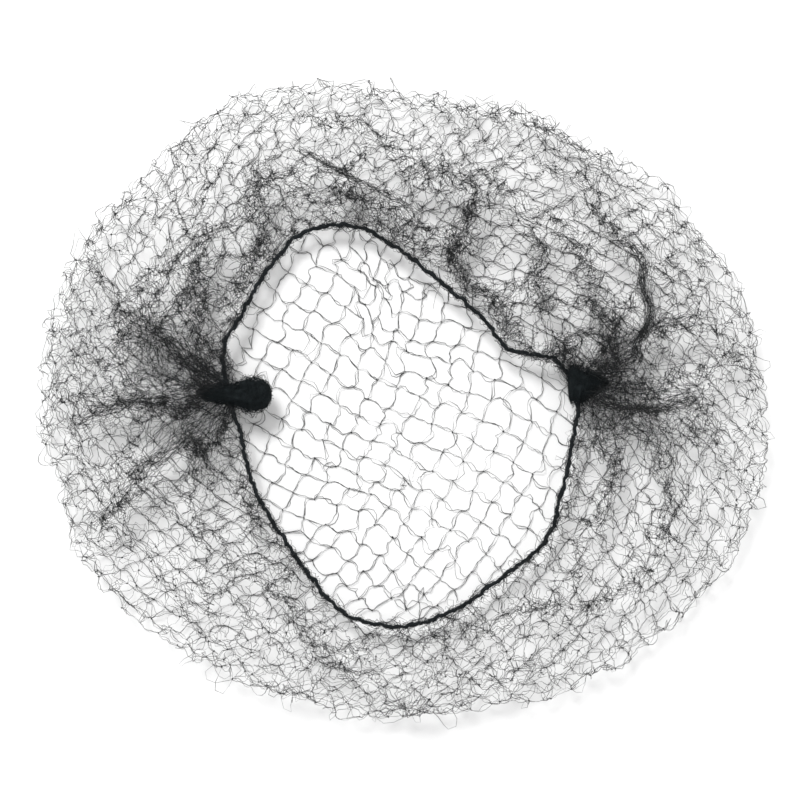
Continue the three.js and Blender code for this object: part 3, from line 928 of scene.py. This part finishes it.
# Each tie's node and bearing, the share of its bunch that lies in the opening, and the bunch's length and
# width as shares of the gathers' named sizes
Tie = namedtuple("Tie", "node bearing inside length width sections pleats")
TIES = [
    Tie("gather_left", LEFT_TIE_BEARING, 0.56, 1, 1, LEFT_BUNCH, LEFT_PLEATS),
    Tie("gather_right", RIGHT_TIE_BEARING, 0.12, 0.53, 1.2, RIGHT_BUNCH, RIGHT_PLEATS),
]
PLEAT_POINTS = 14
LOWEST_PLEAT = 0.4 * MM
BUNCH_RINGS = 36
BUNCH_SIDES = 48

# Strands that lie round a bunch: how many, the shortest and the longest as shares of its length, how far they
# arch proud of it as a share of its thickness, and how kinked they are
LAID_STRANDS = (260, 0.06, 0.3, 0.12, 0.12 * MM)
PROUD_HAIRS = (260, 0.03, 0.1, 0.4, 0.28 * MM)


def bunch_points(tie, along, turn, grow):
    """Points of a bunch's surface, at shares of its length and turns round it."""
    table = np.array(tie.sections)
    half_width = np.interp(along, table[:, 0], table[:, 1]) * GATHER_WIDTH / 2 * tie.width
    half_height = np.interp(along, table[:, 0], table[:, 2]) * GATHER_HEIGHT / 2
    x = GATHER_LENGTH * tie.length * (1 - tie.inside - along)
    y = half_width * grow * np.cos(turn)
    z = half_height * grow * np.sin(turn)
    at = rim_line(tie.bearing)
    facing = math.atan2(at[1] - SHIFT[1], at[0] - SHIFT[0])
    c, s = math.cos(facing), math.sin(facing)
    return np.stack([at[0] + x * c - y * s, at[1] + x * s + y * c, at[2] + z], axis=-1)


def pleat_strands(tie):
    """Strands of gathered netting that run out from a tie in pleats."""
    at = rim_line(tie.bearing)
    way = np.linspace(0, 1, PLEAT_POINTS)
    lines = []
    for heading, length, spread, count in tie.pleats:
        reach = length * MM * rng.uniform(0.3, 1, (count, 1)) ** 0.8
        turn = math.radians(heading)
        ahead = np.array([math.cos(turn), math.sin(turn), 0])
        side = np.array([-math.sin(turn), math.cos(turn), 0])
        off = rng.normal(size=(count, 1)) * (1.1 + spread * way ** 0.8)
        off = off + wander(count, PLEAT_POINTS, 7) * 0.5 + np.sin(way * 4 + heading) * length * 0.03
        height = rng.normal(size=(count, 1)) * (1.0 + 0.8 * way) + wander(count, PLEAT_POINTS, 8) * 0.3
        run = (reach * way)[..., None] * ahead
        lines.append(at + run + off[..., None] * MM * side + height[..., None] * MM * UP)
    lines = np.concatenate(lines)
    lines[..., 2] = np.maximum(lines[..., 2], LOWEST_PLEAT)
    return lines


def bunch_strands(tie, count, shortest, longest, proud, kink, points=11):
    """Kinked strands that lie round a bunch, between two lengths as shares of it, and arch proud of it."""
    way = np.linspace(-1, 1, points)
    reach = rng.uniform(shortest, longest, (count, 1)) * rng.choice([-1, 1], (count, 1))
    along = np.clip(rng.uniform(0, 1, (count, 1)) + reach * way, 0.015, 0.985)
    turn = rng.uniform(0, TAU, (count, 1)) + rng.normal(size=(count, 1)) * way * 0.9
    arch = proud * rng.uniform(0.1, 1, (count, 1)) * (1 - way ** 2)
    lift = 0.96 + arch + 0.09 * wander(count, points, 5)
    lines = bunch_points(tie, along, turn, lift)
    return lines + kink * rng.normal(size=lines.shape)


def bunch_core(tie):
    """A bunch's closed and pleated core, as vertices and faces."""
    rings, sides = BUNCH_RINGS, BUNCH_SIDES
    along = (1 - np.cos(np.linspace(0, math.pi, rings + 2)[1:-1])) / 2
    turn = np.arange(sides) * TAU / sides
    a, b = np.meshgrid(along, turn, indexing="ij")
    grow = 0.88 + 0.04 * np.cos(9 * b + 4 * a) + 0.07 * ripple(np.stack([a * 24, b * 4], axis=-1), 4)
    grow = grow * (0.5 + 0.5 * smooth((a - 0.1) * 3))
    surface = bunch_points(tie, a, b, grow)
    tips = bunch_points(tie, np.array([0.0, 1.0]), np.zeros(2), 0)
    vertices = np.concatenate([surface.reshape(-1, 3), tips])
    step = np.arange(rings - 1)[:, None] * sides
    corner = np.arange(sides)[None]
    following = (corner + 1) % sides
    ring_quads = (step + corner, step + sides + corner, step + sides + following, step + following)
    quads = np.stack(ring_quads, axis=-1)
    tip = np.full(sides, rings * sides)
    last_ring = (rings - 1) * sides
    first = np.stack([tip, corner[0], following[0]], axis=-1)
    last = np.stack([tip + 1, last_ring + following[0], last_ring + corner[0]], axis=-1)
    return vertices, quads.reshape(-1, 4), np.concatenate([first, last])


def make_bunch(tie, material):
    """A pleated core with strands of netting laid over it, and pleats that run out from it."""
    core = bunch_core(tie)
    strands = [bunch_strands(tie, *LAID_STRANDS), bunch_strands(tie, *PROUD_HAIRS)]
    strands = tubes(np.concatenate(strands), FILAMENT_RADIUS)
    pleats = tubes(pleat_strands(tie), FILAMENT_RADIUS)
    make_piece(tie.node + "_bunch", joined([core, strands, pleats]), material, tie.node)


# Floor, light and camera

def make_floor(material):
    mesh = bpy.data.meshes.new("surface")
    corners = [(x * FLOOR_HALF, y * FLOOR_HALF, 0) for x, y in ((-1, -1), (1, -1), (1, 1), (-1, 1))]
    mesh.from_pydata(corners, [], [(0, 1, 2, 3)])
    mesh.materials.append(material)
    floor = bpy.data.objects.new("surface", mesh)
    bpy.context.scene.collection.objects.link(floor)
    floor.location.z = FLOOR_LEVEL


def make_sky():
    world = bpy.data.worlds.new("studio")
    bpy.context.scene.world = world
    world.use_nodes = True
    bpy.context.scene.view_settings.view_transform = "Standard"
    sky = world.node_tree.nodes["Background"]
    sky.inputs["Color"].default_value = (1, 1, 1, 1)
    sky.inputs["Strength"].default_value = SKY_STRENGTH


def make_lamp():
    """A round lamp that faces the net."""
    lamp = bpy.data.lights.new("key", "AREA")
    lamp.shape = "DISK"
    lamp.size = LAMP_SIZE
    lamp.energy = LAMP_POWER
    holder = bpy.data.objects.new("key", lamp)
    bpy.context.scene.collection.objects.link(holder)
    holder.location = LAMP_PLACE
    towards = -holder.location
    holder.rotation_euler = towards.to_track_quat("-Z", "Y").to_euler()


def make_camera():
    lens = bpy.data.cameras.new("camera")
    lens.lens = LENS
    lens.clip_start = 0.01
    camera = bpy.data.objects.new("camera", lens)
    bpy.context.scene.collection.objects.link(camera)
    frame_side = PHOTO_PIXELS * PIXEL
    distance = frame_side * LENS / lens.sensor_width
    camera.location = (PHOTO_CENTRE[0] + SHIFT[0], PHOTO_CENTRE[1] + SHIFT[1], RIM_HEIGHT + distance)
    bpy.context.scene.camera = camera


make_camera()
make_sky()
make_lamp()
make_floor(floor_finish())
nylon = nylon_finish()
bunched = bunch_finish()
make_net(nylon)
make_elastic(elastic_finish())
for tie in TIES:
    make_bunch(tie, bunched)
